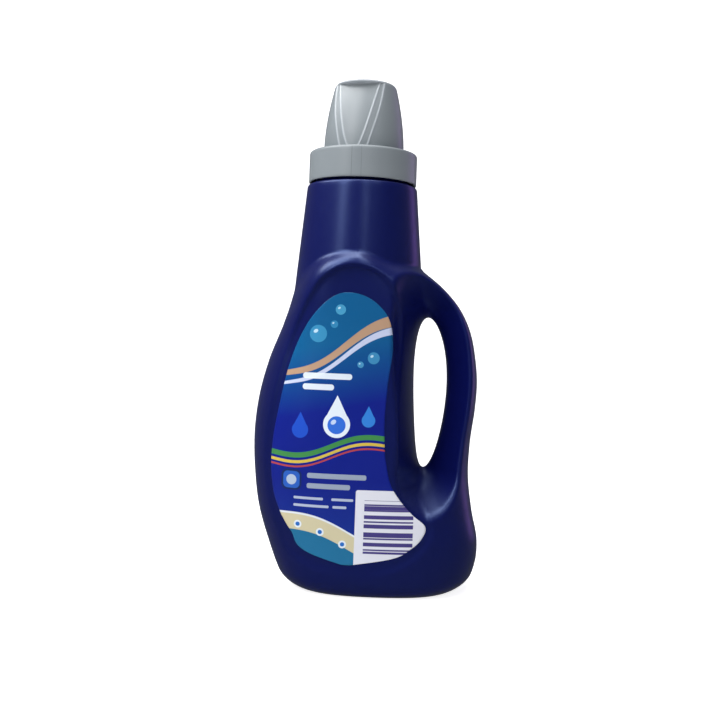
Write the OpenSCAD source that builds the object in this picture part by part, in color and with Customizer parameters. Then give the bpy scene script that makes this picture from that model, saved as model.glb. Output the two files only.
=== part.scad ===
// Laundry detergent bottle of about one litre, with a through-handle,
// a pouring spout fitment and a screwed dosing cap with three grip scoops.
// Z is up, the front faces -Y, the handle is on the +X side.

/* [Body] */
// height of the shoulder that the neck finish stands on
shoulder_z = 214; // [212:0.5:218]
// half depth of the body, front to back
half_depth = 38.5; // [34:0.5:42]
// how full the body's section is, 0 is an ellipse
fullness = 0.55; // [0.2:0.05:0.8]
// how high up the front stays full
full_up = 24; // [8:2:32]
// how sharply the front turns in under the arch
arch_turn = 10; // [6:1:14]
// how far the front leans back towards the arch
lean_back = 1; // [0:0.2:3]
// softness of the line between front and neck, in square mm
neck_blend = 200; // [120:20:260]
// softness of the handle hole's rim, in square mm
hole_blend = 160; // [100:20:200]
// steepness of the hole's ends
hole_ends = 110; // [80:5:130]
// where the body's arch ends on the neck cone
arch_top = 185; // [182:0.5:190]
// radius of the rounded edge round the base
heel_r = 9; // [6:0.5:12]
// height of the push-up under the base
push_up = 3; // [1:0.25:4]
// wall thickness of the blown bottle
wall = 1.2; // [0.9:0.1:1.6]
// neck axis from the middle of the width
neck_x = -7.65; // [-9:0.05:-6]

/* [Neck] */
// radius of the neck cone at the shoulder
cone_r = 29.5; // [28.5:0.1:30.5]
// growth of the cone's radius for each mm downwards
cone_slope = 0.0885; // [0.07:0.0005:0.1]
// outer radius of the neck finish
finish_r = 25.2; // [24.5:0.1:25.5]
// bore radius of the neck finish
bore_r = 23; // [22.5:0.1:23.3]
// height of the neck finish over the shoulder
finish_h = 14; // [12:0.5:16]

/* [Handle hole] */
// height of the hole's middle
hole_z = 104.65; // [100:0.5:108]
// half height of the hole
hole_half = 40.25; // [36:0.25:42]
// half width of the hole
hole_w = 8.75; // [8:0.05:10]
// how far the hole's middle lies from the neck axis
hole_x = 40.5; // [39:0.25:42]

/* [Label panel] */
// depth of the panel's recess under the arch
panel_deep = 2.2; // [1:0.1:3]
// depth of the panel's recess at the bottom
panel_low = 0.8; // [0.5:0.1:1.2]
// thickness of the label
label_thick = 0.2; // [0.15:0.05:0.4]
// room between the label and the panel
label_gap = 0.35; // [0.2:0.05:0.5]

/* [Spout fitment] */
// thickness of the fitment's flange and walls
fitment_wall = 1.2; // [1:0.1:1.5]
// how far the flange reaches over the rim's edge
flange_over = 0.7; // [0.4:0.1:1]
// how far the fitment's plug reaches below the shoulder
plug_low = 1.5; // [0.5:0.5:4]
// height of the well's floor over the shoulder
floor_up = 2; // [1:0.5:4]
// clearance of the fitment's plug in the bore
plug_clear = 0.12; // [0.1:0.02:0.2]
// outer radius of the pouring spout
spout_r = 12.5; // [11:0.25:13.5]
// height of the spout's lip over the rim
spout_h = 15.5; // [10:0.5:20]
// slope of the spout's lip in degrees
lip_tilt = 30; // [10:5:45]
// slope of the well's floor in degrees
floor_tilt = 7; // [4:0.5:9]
// width of the drain slot in the spout
drain_w = 5; // [3:0.5:7]

/* [Cap] */
// room for the thread between the neck finish and the skirt
thread_room = 2.4; // [2:0.1:3]
// thickness of the collar's skirt
skirt_wall = 1.4; // [1.2:0.1:1.6]
// gap between the collar and the shoulder
collar_gap = 1.3; // [0.5:0.1:2]
// thickness of the roof over the seal
cap_roof = 1.7; // [1.2:0.1:2.5]
// rounding of the collar's upper edge
collar_edge = 1.5; // [0.5:0.1:1.6]
// height of the cup over the collar
cup_h = 37.1; // [32:0.1:44]
// radius of the cup where it leaves the collar
cup_r = 21.5; // [21:0.1:22.5]
// radius of the cup's top before its rounding
cup_top_r = 17; // [16:0.1:18]
// rounding of the cup's top
cup_edge = 3; // [2:0.1:4]
// thickness of the cup's wall
cup_wall = 1.3; // [1.1:0.1:1.5]
// room between the sealing lip and the fitment's well
lip_room = 1.5; // [0.5:0.1:2]
// how far the sealing lip hangs below the rim
lip_deep = 6; // [3:0.5:7]
// number of grip scoops
scoops = 2; // [2:1:4]
// direction of the front scoop from the front, degrees
scoop_turn = -16; // [-30:1:30]
// distance of a scoop's bevel from the axis, where the cup leaves the collar
bevel_foot = 21.1; // [20.8:0.05:21.3]
// distance of a scoop's bevel from the axis at the cup's top
bevel_head = 13.3; // [12.8:0.1:14.5]
// distance of a scoop's floor from the axis, where the cup leaves the collar
floor_foot = 21.05; // [20.6:0.05:21.25]
// distance of a scoop's floor from the axis at the cup's top
floor_head = 12.3; // [11.8:0.1:14]
// height of the plain crown over a scoop
crown_h = 2; // [1.5:0.1:4]
// rise of the shelf under the crown for each mm outwards
crown_rise = 1.2; // [0.6:0.1:2]
// curvature radius of a scoop's bevel
bevel_r = 40; // [35:1:60]
// curvature radius of a scoop's floor
scoop_r = 120; // [80:5:200]

/* [Seal] */
// thickness of the foam ring
seal_thick = 0.8; // [0.6:0.1:1]
// how far the foam ring reaches over the finish's edge
seal_over = 0.8; // [0.2:0.1:1.2]
// how far the foam ring reaches into the bore
seal_inside = 0.7; // [0:0.1:1]
// gap between the foam ring and the cap's roof
seal_gap = 0.1; // [0.05:0.05:0.2]

/* [Hidden] */
rim_z = shoulder_z + finish_h;
flange_z = rim_z + fitment_wall;
seal_z = flange_z + seal_thick;
under_z = seal_z + seal_gap;
well_r = bore_r - plug_clear - fitment_wall;
spout_z = rim_z + spout_h;
collar_z = shoulder_z + collar_gap;
collar_top = under_z + cap_roof;
collar_r = finish_r + thread_room + skirt_wall;
cap_top = collar_top + cup_h;
lip_r = well_r - lip_room;
lip_z = rim_z - lip_deep;
throat_r = lip_r - cup_wall;

// body outline seen from the front: height, distance from the neck axis
left_line = [[0, -33.4], [9, -38], [22, -43.2], [41, -49.3], [61, -52.3], [80, -53.2],
  [100, -51.4], [119, -46.9], [139, -39.6], [147, -36.4], [153, -34.6], [159, -31.6], [166, -25],
  [174, -16], [181, -6], [arch_top, 2]];
right_line = [[0, 60.5], [9, 66], [16, 68.1], [26, 68.6], [42, 65.3], [60, 62.7], [78, 62.9],
  [97, 65], [110, 65.6], [124, 64.2], [139, 60.6], [150, 55], [161, 45.2], [170, 34.5],
  [177, 24], [182, 13], [arch_top, 2]];
// outline of the panel recess on the front
panel_left = [[10, -6], [20, -29], [35, -38.5], [52, -44], [74, -46], [97, -43.3],
  [122, -37.6], [140, -32], [153, -26], [161, -20.8], [167, -12.6], [169.5, -2.5]];
panel_right = [[10, 6], [18, 28], [27, 39.5], [36, 43.5], [46, 39.5], [56, 32], [70, 25.5],
  [90, 23.4], [112, 23.6], [132, 24.4], [148, 22.8], [158, 19], [164, 14], [168, 6.5], [169.5, -2.5]];
// outline of the label
label_left = [[17.6, -3], [22, -19], [33, -30], [46, -37.8], [60, -41.2], [76, -41.4],
  [97, -38.4], [122, -32.8], [138, -26], [148, -18.6], [155.4, -5]];
label_right = [[17.6, 0], [21.5, 20.8], [27, 31.5], [33, 37.2], [38, 38.3], [44, 31.5],
  [56, 21.5], [70, 17.2], [86, 15.8], [108, 16.6], [130, 18.6], [143, 15.8], [151, 8.6],
  [155.4, -5]];

function smooth(t) = let (s = min(1, max(0, t))) s * s * (3 - 2 * s);
function soft_min(a, b, k) = let (h = max(0, k - abs(a - b))) min(a, b) - h * h / (4 * k);
function soft_max(a, b, k) = let (h = max(0, k - abs(a - b))) max(a, b) + h * h / (4 * k);

// smooth curve through points, in the square root of the distance from their top
function knots(p) = let (top = p[len(p) - 1][0]) [for (i = [len(p) - 1:-1:0])
  [sqrt(top - p[i][0]), p[i][1]]];
function slope(k, i) = let (n = len(k) - 1)
  i == 0 ? (k[1][1] - k[0][1]) / (k[1][0] - k[0][0]) :
  i == n ? (k[n][1] - k[n - 1][1]) / (k[n][0] - k[n - 1][0]) :
  let (ha = k[i][0] - k[i - 1][0], hb = k[i + 1][0] - k[i][0])
  ((k[i][1] - k[i - 1][1]) / ha * hb + (k[i + 1][1] - k[i][1]) / hb * ha) / (ha + hb);
function with_slopes(k) = [for (i = [0:len(k) - 1]) [k[i][0], k[i][1], slope(k, i)]];
function span(k, q, i = 0) = i >= len(k) - 2 || q <= k[i + 1][0] ? i : span(k, q, i + 1);
function along(k, q) = let (i = span(k, q), a = k[i], b = k[i + 1], h = b[0] - a[0],
    s = (q - a[0]) / h, r = 1 - s)
  a[1] * r * r * (1 + 2 * s) + b[1] * s * s * (3 - 2 * s) + h * s * r * (a[2] * r - b[2] * s);
function curve(k, top, z) = along(k, sqrt(max(0, top - z)));

left_k = with_slopes(knots(left_line));
right_k = with_slopes(knots(right_line));
panel_lk = with_slopes(knots(panel_left));
panel_rk = with_slopes(knots(panel_right));
label_lk = with_slopes(knots(label_left));
label_rk = with_slopes(knots(label_right));
panel_top = panel_left[len(panel_left) - 1][0];
panel_foot = panel_left[0][0];
label_top = label_left[len(label_left) - 1][0];
label_foot = label_left[0][0];

// everything about one height that the section's formula needs
function heel(z) = z >= heel_r ? 0 : heel_r - sqrt(heel_r * heel_r - (heel_r - z) * (heel_r - z));
function edge_z(z) = max(0, z - (shoulder_z - 1.5));
function cone(z) = cone_r + cone_slope * (shoulder_z - z) - 1.5 + sqrt(max(0, 2.25 - edge_z(z) * edge_z(z)));
function deep(z) = half_depth - 1.6 * pow(max(0, (70 - z) / 70), 2) - lean_back * pow(max(0, (z - 70) / 110), 2);
function level(z) = let (
    low = z < arch_top - 0.4,
    xl = low ? curve(left_k, arch_top, z) + heel(z) : -1,
    xr = low ? curve(right_k, arch_top, z) - heel(z) : 1,
    s = max(0, z - 140) / (arch_top - 140),
    b = deep(z) - heel(z),
    t = (z - hole_z) / hole_half,
    below = max(0, -1 - t),
    above = max(0, t - 1),
    across = min(1, max(-1, t)),
    inside = z > panel_foot && z < panel_top,
    pl = inside ? curve(panel_lk, panel_top, z) : 0,
    pr = inside ? curve(panel_rk, panel_top, z) : 0)
  [low, (xl + xr) / 2, (xr - xl) / 2, b * b * (1 - pow(s, arch_turn)), t,
    hole_x - 2.2 * across * across - 4.4 * (below + above) + 17 * below * below,
    hole_w + 1.1 * sin(90 * across), cone(z) * cone(z) - 3 * pow(max(0, 162 - z), 2),
    inside ? (pl + pr) / 2 : 0, inside ? pow((pr - pl) / 2, 2) : -1,
    (panel_low + (panel_deep - panel_low) * smooth((z - 50) / 90)) * smooth((z - panel_foot) / 9),
    fullness * (1 - pow(min(1, z / arch_top), full_up)),
    inside ? pr - 2.5 : 20];
// square of the half depth at one point
function square(v, x) = let (
    u = (x - v[1]) / v[2],
    pillow = v[0] ? v[3] * (1 - u * u) * (1 + v[11] * min(4, u * u)) : -9000,
    past = max(0, abs(v[4]) - 1),
    w = (x - v[5]) / v[6],
    side = 90 + 230 * smooth((v[5] + 6 - x) / 14),
    end = mix(side, hole_ends, smooth(past / 0.25)),
    hole = side * w * w + end * (v[4] * v[4] - 1 + (v[4] < 0 ? 30 : 11) * past * past))
  soft_max(soft_min(pillow, hole, hole_blend), v[7] - x * x, neck_blend);
function dip(v, x) = let (m = x - v[8])
  v[10] * smooth((v[9] - m * m) / (3.6 * sqrt(4 * m * m + 260)));
function half(v, x) = sqrt(max(0, square(v, x))) - dip(v, x);
function root(v, out, in, n = 24) = let (m = (out + in) / 2)
  n == 0 ? m : square(v, m) > 0 ? root(v, out, m, n - 1) : root(v, m, in, n - 1);

// columns of the grid: body side and handle side, meeting at the hole
face_n = 10;
body_n = face_n + 4;
grip_n = 8;
all_n = body_n + grip_n;
hole_low = hole_z - hole_half;
hole_high = hole_z + hole_half;
function even(i, n) = (1 - cos(180 * i / n)) / 2;
function mix(a, b, s) = a + (b - a) * s;
// columns of the body side, with one of them on the ridge beside the label panel
function body_x(i, l, a, ridge) = let (r = min(a - 7, max(mix(l, a, 0.6), ridge)))
  i <= face_n ? mix(l, r, even(i, face_n)) : mix(r, a, sin(90 * (i - face_n) / (body_n - face_n)));
function columns(v, z) = let (
    open = z > hole_low + 0.01 && z < hole_high - 0.01,
    grip_x = v[0] ? (v[1] + v[2] + v[5] + v[6]) / 2 : 0,
    l = root(v, v[0] ? min(v[1] - v[2] - 6, -40) : -40, v[0] ? v[1] - v[2] / 2 : 0),
    r = root(v, v[0] ? max(v[1] + v[2] + 6, 40) : 40, open ? grip_x : v[0] ? v[1] : 0),
    away = max(hole_low - z, z - hole_high) / (z > hole_z ? 34 : 60),
    a = open ? root(v, v[5], v[5] - 22) : v[5],
    b = open ? root(v, v[5], grip_x) : v[5])
  [for (i = [0:all_n + 1]) let (
      body = i <= body_n,
      part = body ? body_x(i, l, a, v[12]) : mix(b, r, even(i - body_n - 1, grip_n)),
      whole = mix(l, r, even(body ? i : i - 1, all_n)))
    open ? part : mix(part, whole, smooth(away))];

// heights of the grid's rows
rows = [0.45, 1.75, 3.8, 6.3, 9, 15, 24, 33, 40, 45, 50, 54.5, 58.5, 61.5, 63.4, hole_low,
  65.4, 67.8, 71.5, 77, 84, 92, 101, 110, 119, 127, 134, 139, 142.4, 144.2, hole_high,
  146, 148.5, 151.5, 154.5, 157.5, 160.5, 163.5, 166, 168.5, 171, 173.5, 176, 178.5,
  181, 185, 192, 202, shoulder_z - 1.5, shoulder_z - 0.5, shoulder_z];
last_body = len(rows) - 3;
base_x = 14;
base_rings = [[0.2, push_up + 0.2], [0.55, push_up], [0.76, push_up * 0.75], [0.87, push_up * 0.25],
  [0.93, 0], [1, 0]];

step = 0.02;
function lean(v, lo, hi, x) = let (
    gx = (square(v, x + step) - square(v, x - step)) / (2 * step),
    gz = (square(hi, x) - square(lo, x)) / (2 * step),
    dx = (dip(v, x + step) - dip(v, x - step)) / (2 * step),
    dz = (dip(hi, x) - dip(lo, x)) / (2 * step),
    y = half(v, x) + dip(v, x),
    n = [-gx + 2 * y * dx, 2 * y, -gz + 2 * y * dz])
  n / norm(n);
function is_edge(i, z) = i == 0 || i == all_n + 1
  || ((i == body_n || i == body_n + 1) && z > hole_low - 0.01 && z < hole_high + 0.01);
function outer_row(z) = let (v = level(z), x = columns(v, z))
  [for (i = [0:all_n + 1]) [x[i], is_edge(i, z) ? 0 : half(v, x[i]), z]];
function inner_row(z) = let (v = level(z), lo = level(z - step), hi = level(z + step), x = columns(v, z))
  [for (i = [0:all_n + 1]) let (n = lean(v, lo, hi, x[i]), y = is_edge(i, z) ? 0 : half(v, x[i]))
    [x[i] - wall * n[0], is_edge(i, z) ? 0 : y - wall * n[1], z - wall * n[2]]];
function base_row(f, z, flat) = let (v = level(0), x = columns(v, 0))
  [for (i = [0:all_n + 1]) [mix(base_x, x[i], f),
    flat || is_edge(i, 0) ? 0 : half(v, x[i]) * f, z]];
function ring(r, z) = [for (i = [0:all_n + 1]) let (a = 180 * (i <= body_n ? i : i - 1) / all_n)
  [-r * cos(a), i == 0 || i == all_n + 1 ? 0 : r * sin(a), z]];

outside = concat(
  [for (b = base_rings) base_row(b[0], b[1], b == base_rings[0])],
  [for (z = rows) outer_row(z)],
  [ring(finish_r, shoulder_z), ring(finish_r, rim_z), ring(bore_r, rim_z),
    ring(bore_r, shoulder_z - wall), ring(cone_r - wall - 0.6, shoulder_z - wall)]);
inside_rows = concat(
  [for (k = [last_body:-1:0]) inner_row(rows[k])],
  [for (k = [len(base_rings) - 1:-1:0]) base_row(base_rings[k][0], base_rings[k][1] + wall, k == 0)]);
sheets = concat(outside, inside_rows);
width = all_n + 2;
hole_first = len(base_rings) + search(hole_low, rows)[0];
hole_last = len(base_rings) + search(hole_high, rows)[0];
in_first = len(outside) + last_body - search(hole_high, rows)[0];
in_last = len(outside) + last_body - search(hole_low, rows)[0];

// one index for points that the front and back sheets or both sides of the hole share
function opened(r) = (r > hole_first && r < hole_last) || (r > in_first && r < in_last);
function slit(r) = (r >= hole_first && r <= hole_last) || (r >= in_first && r <= in_last);
function at(r, i, back) = let (
    c = i == body_n + 1 && !opened(r) ? body_n : i,
    shared = c == 0 || c == all_n + 1 || ((c == body_n || c == body_n + 1) && slit(r))
      || r == 0 || r == len(sheets) - 1)
  (back && !shared ? len(sheets) * width : 0) + r * width + c;
function tri(a, b, c) = a == b || b == c || c == a ? [] : [[a, b, c]];
function patch(r, i, back) = let (
    a = at(r, i, back), b = at(r, i + 1, back), c = at(r + 1, i + 1, back), d = at(r + 1, i, back))
  (r == 0 && i == all_n) || (r == len(sheets) - 2 && i == 0)
    ? (back ? concat(tri(a, b, d), tri(b, c, d)) : concat(tri(a, d, b), tri(b, d, c)))
    : (back ? concat(tri(a, b, c), tri(a, c, d)) : concat(tri(a, c, b), tri(a, d, c)));

module bottle_shell() {
  points = concat(
    [for (r = sheets) for (p = r) [p[0], -p[1], p[2]]],
    [for (r = sheets) for (p = r) p]);
  faces = [for (r = [0:len(sheets) - 2]) for (i = [0:all_n]) if (i != body_n)
    for (back = [false, true]) for (t = patch(r, i, back)) t];
  polyhedron(points, faces, convexity = 12);
}

module bottle() {
  color([0.06, 0.09, 0.38]) translate([neck_x, 0, 0]) bottle_shell();
}

// label: a thin skin in front of the panel
label_n = 13;
label_m = 28;
label_rows = [for (k = [0:label_m]) mix(label_foot + 0.15, label_top - 0.15,
  mix(k / label_m, even(k, label_m), 0.35))];
function label_x(z) = let (a = curve(label_lk, label_top, z), b = curve(label_rk, label_top, z))
  [for (i = [0:label_n]) mix(a, b, 1 - pow(1 - i / label_n, 1.25))];

module front_label() {
  skins = [label_gap, label_gap + label_thick];
  points = [for (off = skins) for (z = label_rows) let (v = level(z)) for (x = label_x(z))
    [x, -half(v, x) - off, z]];
  m = label_n + 1;
  n = len(label_rows);
  faces = concat(
    [for (k = [0:n - 2]) for (i = [0:label_n - 1]) let (a = k * m + i)
      each [[a, a + 1, a + m + 1], [a, a + m + 1, a + m]]],
    [for (k = [0:n - 2]) for (i = [0:label_n - 1]) let (a = n * m + k * m + i)
      each [[a, a + m + 1, a + 1], [a, a + m, a + m + 1]]],
    [for (i = [0:label_n - 1]) each [[i, i + n * m + 1, i + 1], [i, i + n * m, i + n * m + 1]]],
    [for (i = [0:label_n - 1]) let (a = (n - 1) * m + i)
      each [[a, a + 1, a + n * m + 1], [a, a + n * m + 1, a + n * m]]],
    [for (k = [0:n - 2]) let (a = k * m) each [[a, a + m, a + n * m], [a + m, a + m + n * m, a + n * m]]],
    [for (k = [0:n - 2]) let (a = k * m + label_n)
      each [[a, a + n * m, a + m], [a + m, a + n * m, a + m + n * m]]]);
  color([0.1, 0.35, 0.65]) translate([neck_x, 0, 0]) polyhedron(points, faces);
}

module tube(r, in_r, z, h) {
  translate([0, 0, z]) difference() {
    cylinder(r = r, h = h, $fn = 96);
    translate([0, 0, -1]) cylinder(r = in_r, h = h + 2, $fn = 96);
  }
}

module spout_fitment() {
  plug_r = well_r + fitment_wall;
  floor_z = shoulder_z + floor_up;
  fall = spout_r * tan(floor_tilt);
  color([0.93, 0.94, 0.95]) translate([neck_x, 0, 0]) union() {
    tube(finish_r + flange_over, well_r, rim_z, fitment_wall);
    tube(plug_r, well_r, shoulder_z - plug_low, rim_z + fitment_wall - shoulder_z + plug_low);
    // sloping floor of the well, round the spout
    difference() {
      intersection() {
        translate([0, 0, floor_z - well_r / 2]) cylinder(r = well_r + fitment_wall / 3, h = well_r, $fn = 96);
        translate([0, 0, floor_z]) rotate([0, floor_tilt, 0]) translate([0, 0, -fitment_wall])
          cylinder(r = 2 * well_r, h = fitment_wall, $fn = 96);
      }
      translate([0, 0, floor_z - spout_r]) cylinder(r = spout_r - fitment_wall / 2, h = 2 * spout_r, $fn = 96);
    }
    difference() {
      translate([0, 0, floor_z - fall - fitment_wall])
        cylinder(r = spout_r, h = spout_z - floor_z + fall + fitment_wall, $fn = 96);
      translate([0, 0, floor_z - spout_r]) cylinder(r = spout_r - fitment_wall, h = 5 * spout_r, $fn = 96);
      // oblique cut: the lip is highest on the pouring side, away from the handle
      translate([-spout_r, 0, spout_z]) rotate([0, lip_tilt, 0])
        translate([-spout_r, -2 * spout_r, 0]) cube([6 * spout_r, 4 * spout_r, 3 * spout_r]);
      // drain slot at the low side of the well's floor
      translate([spout_r - 3 * fitment_wall, -drain_w / 2, floor_z - fall])
        cube([5 * fitment_wall, drain_w, spout_z - floor_z]);
    }
  }
}

module seal_ring() {
  color([0.85, 0.86, 0.88]) translate([neck_x, 0, 0])
    tube(finish_r + seal_over, bore_r - seal_inside, flange_z, seal_thick);
}

// everything in front of a tilted cylinder: it cuts one convex facet into the cup
module facet(foot, head, r) {
  translate([0, -foot, collar_top]) rotate([-atan((foot - head) / cup_h), 0, 0]) difference() {
    translate([-1.5 * cup_r, -cup_r, -cup_h]) cube([3 * cup_r, 1.8 * cup_r, 3 * cup_h]);
    translate([0, r, -2 * cup_h]) cylinder(r = r, h = 5 * cup_h, $fn = 256);
  }
}

// heights and radii of the cup's bulging side, as shares from the collar to the top
cup_side = [[0.135, 0], [0.323, 0.11], [0.512, 0.31], [0.674, 0.58], [0.809, 0.8]];

// the cup's outer form, or its hollow with an inset
module cup_form(inset, low) {
  edge = cup_edge - inset;
  shelf = inset > 0 ? cap_top : cap_top - crown_h;
  difference() {
    rotate_extrude($fn = 96) polygon(concat(
      [[0, low], [cup_r - inset, low]],
      [for (p = cup_side) [cup_r - inset - p[1] * (cup_r - cup_top_r), collar_top + p[0] * cup_h]],
      [for (a = [0:15:90]) [cup_top_r - cup_edge + edge * cos(a), cap_top - cup_edge + edge * sin(a)]],
      [[0, cap_top - inset]]));
    // the scoops end on a shelf that rises outwards to the plain crown
    intersection() {
      for (k = [0:scoops - 1]) rotate([0, 0, scoop_turn + 360 / scoops * k]) {
        facet(bevel_foot - inset, bevel_head - inset, bevel_r - inset);
        facet(floor_foot - inset, floor_head - inset, scoop_r - inset);
      }
      rotate_extrude($fn = 96) polygon([[0, low - cup_r], [2 * cup_r, low - cup_r],
        [2 * cup_r, shelf + crown_rise * (2 * cup_r - cup_top_r)], [0, shelf - crown_rise * cup_top_r]]);
    }
  }
}

module cap() {
  color([0.55, 0.58, 0.62]) translate([neck_x, 0, 0]) difference() {
    union() {
      rotate_extrude($fn = 128) polygon(concat([[0, collar_z], [collar_r, collar_z]],
        [for (a = [0:22.5:90]) [collar_r - collar_edge + collar_edge * cos(a),
          collar_top - collar_edge + collar_edge * sin(a)]],
        [[0, collar_top]]));
      cup_form(0, collar_top - 2 * cup_wall);
    }
    // room for the neck finish, with the sealing lip left standing in it
    difference() {
      translate([0, 0, collar_z - 1])
        cylinder(r = collar_r - skirt_wall, h = under_z - collar_z + 1, $fn = 128);
      tube(lip_r, throat_r, lip_z, under_z - lip_z + 1);
    }
    // hollow of the cup, narrower inside the sealing lip
    difference() {
      cup_form(cup_wall, collar_z - 2);
      tube(2 * cup_r, throat_r, collar_z - 3, collar_top - collar_z + 3.5);
    }
  }
}

bottle();
spout_fitment();
seal_ring();
cap();
front_label();
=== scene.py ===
import math
import bpy
import numpy as np
from mathutils import Matrix, Vector


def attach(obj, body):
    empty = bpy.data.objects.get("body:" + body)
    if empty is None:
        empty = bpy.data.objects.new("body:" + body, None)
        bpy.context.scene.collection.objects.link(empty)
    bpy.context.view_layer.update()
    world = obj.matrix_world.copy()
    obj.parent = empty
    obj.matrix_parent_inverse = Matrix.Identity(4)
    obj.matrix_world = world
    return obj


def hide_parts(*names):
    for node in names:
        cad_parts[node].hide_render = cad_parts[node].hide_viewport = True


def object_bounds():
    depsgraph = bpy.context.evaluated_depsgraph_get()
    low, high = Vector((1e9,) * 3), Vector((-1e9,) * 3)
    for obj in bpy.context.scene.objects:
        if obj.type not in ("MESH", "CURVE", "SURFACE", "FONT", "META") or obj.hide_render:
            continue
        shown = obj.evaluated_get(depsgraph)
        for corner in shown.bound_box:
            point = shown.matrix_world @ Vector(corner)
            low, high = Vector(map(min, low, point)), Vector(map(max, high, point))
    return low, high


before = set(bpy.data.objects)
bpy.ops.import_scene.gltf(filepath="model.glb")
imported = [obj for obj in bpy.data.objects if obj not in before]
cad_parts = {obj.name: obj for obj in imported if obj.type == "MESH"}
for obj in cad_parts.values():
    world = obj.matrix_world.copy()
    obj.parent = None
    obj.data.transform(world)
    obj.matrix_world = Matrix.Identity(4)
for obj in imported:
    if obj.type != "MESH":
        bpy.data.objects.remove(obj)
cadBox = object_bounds()

# the object's lengths are in millimetres, and its x runs from the neck's axis, which stands at neckX
neckX = -7.65
slim, margin = 0.998, 0.004  # keep the finer skin just inside the solids' box

body = dict(depth=38.5, full=0.55, waist=70, footLean=1.6, lean=1.15, leanOver=110, heel=9, wall=1.2, baseX=14,
            top=188, shoulder=214, cone=29.5, slope=0.0885, coneCorner=1.5, neckFoot=162, neckDrop=3,
            neckBlend=150, outside=-6)
# the opening behind the grip: its middle line, its half width, how steeply its walls turn in, and its ends
opening = dict(z=104.65, half=40.25, x=40.5, bow=2.2, kick=17, w=8.75, flare=1.1, gripWall=90, bodyWall=230,
               wallFrom=6, wallOver=14, end=110, endOver=0.25, footEase=30, topEase=11, blend=160)
recess = dict(deep=2.2, low=0.8, deepFrom=50, deepOver=90, footOver=9, step=3.6, soft=260)
# the arch over the label: half of an ellipse on the left, a gentler fall to the handle on the right
arch = dict(x=-1, z=133.2, w=36.4, h=43.2, spread=23, turn=15, splay=0.05, splayFrom=152, least=6,
            fall=14.5, squarer=1.2, squareFrom=120, squareOver=35)

leftLine = [[0, -33.4], [9, -38], [22, -43.2], [41, -49.3], [61, -52.3], [80, -53.2], [100, -51.4],
            [119, -46.9], [139, -39.6], [147, -37.1], [155, -35], [165, -32.2],
            [176, -28], [188, -25.5], [200, -24]]
rightLine = [[0, 60.5], [9, 66], [16, 68.1], [26, 68.6], [42, 65.3], [60, 62.7], [78, 62.9], [97, 65],
             [110, 65.6], [124, 64.2], [139, 60.6], [150, 55], [161, 45.2], [169, 35.2],
             [176, 27], [183, 20], [200, 8]]
panelLeft = [[10, -6], [20, -29], [35, -38.5], [52, -44], [74, -46], [97, -43.3], [122, -37.6],
             [140, -32], [153, -26], [161, -20.8], [167, -12.6], [169.5, -2.5]]
panelRight = [[10, 6], [18, 28], [27, 39.5], [36, 43.5], [46, 39.5], [56, 32], [70, 25.5], [90, 23.4],
              [112, 23.6], [132, 24.4], [148, 22.8], [158, 19], [164, 14], [168, 6.5], [169.5, -2.5]]
labelLeft = [[17.6, -3], [22, -19], [33, -30], [46, -37.8], [60, -41.2], [76, -41.4], [97, -38.4],
             [122, -32.8], [138, -26], [148, -18.6], [155.4, -5]]
labelRight = [[17.6, 0], [21.5, 20.8], [27, 31.5], [33, 37.2], [38, 38.3], [44, 31.5], [56, 21.5],
              [70, 17.2], [86, 15.8], [108, 16.6], [130, 18.6], [143, 15.8], [151, 8.6], [155.4, -5]]


def smooth(t):
    t = np.clip(t, 0, 1)
    return t * t * (3 - 2 * t)


def softMin(a, b, k):
    h = np.maximum(0, k - abs(a - b))
    return np.minimum(a, b) - h * h / (4 * k)


def softMax(a, b, k):
    return -softMin(-a, -b, k)


# a smooth line through (height, x) points, drawn over the square root of the depth below its top
class Curve:
    def __init__(self, points):
        p = np.array(points, float)
        self.top, self.foot = p[-1, 0], p[0, 0]
        q, x = np.sqrt(self.top - p[::-1, 0]), p[::-1, 1]
        h = np.diff(q)
        d = np.diff(x) / h
        m = np.concatenate([d[:1], (d[:-1] * h[1:] + d[1:] * h[:-1]) / (h[:-1] + h[1:]), d[-1:]])
        self.q, self.x, self.m = q, x, m

    def __call__(self, z):
        q = np.sqrt(np.maximum(0, self.top - np.asarray(z, float)))
        i = np.clip(np.searchsorted(self.q, q) - 1, 0, len(self.q) - 2)
        h = self.q[i + 1] - self.q[i]
        t = (q - self.q[i]) / h
        r = 1 - t
        return (self.x[i] * r * r * (1 + 2 * t) + self.x[i + 1] * t * t * (3 - 2 * t)
                + h * t * r * (self.m[i] * r - self.m[i + 1] * t))


leftEdge, rightEdge, panelL, panelR, labelL, labelR = map(
    Curve, (leftLine, rightLine, panelLeft, panelRight, labelLeft, labelRight))


def heel(z):
    d = np.clip(body["heel"] - z, 0, body["heel"])
    return body["heel"] - np.sqrt(body["heel"] ** 2 - d * d)


def cone(z):
    r = body["coneCorner"]
    e = np.clip(z - (body["shoulder"] - r), 0, r)
    return body["cone"] + body["slope"] * (body["shoulder"] - z) - r + np.sqrt(r * r - e * e)


# t is the height in the opening, from -1 at its foot to 1 at its top
def holeMiddle(t):
    below, above, across = np.maximum(0, -1 - t), np.maximum(0, t - 1), np.clip(t, -1, 1)
    bow = opening["bow"]
    return opening["x"] - bow * across ** 2 - 2 * bow * (below + above) + opening["kick"] * below ** 2


def holeHalfWidth(t):
    return opening["w"] + opening["flare"] * np.sin(np.radians(90 * np.clip(t, -1, 1)))


# how far a point lies below the arch's line
def belowArch(x, z):
    t = x - arch["x"]
    wide = arch["w"] + arch["splay"] * np.maximum(0, arch["splayFrom"] - z) ** 2
    fx = np.where(t < 0, t, arch["spread"] * np.tanh(t / arch["turn"])) / wide
    fz = np.maximum(arch["least"], z - arch["z"]) / arch["h"]
    return (1 - fx * fx - fz * fz) / (2 * np.sqrt((fx / wide) ** 2 + (fz / arch["h"]) ** 2))


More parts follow.
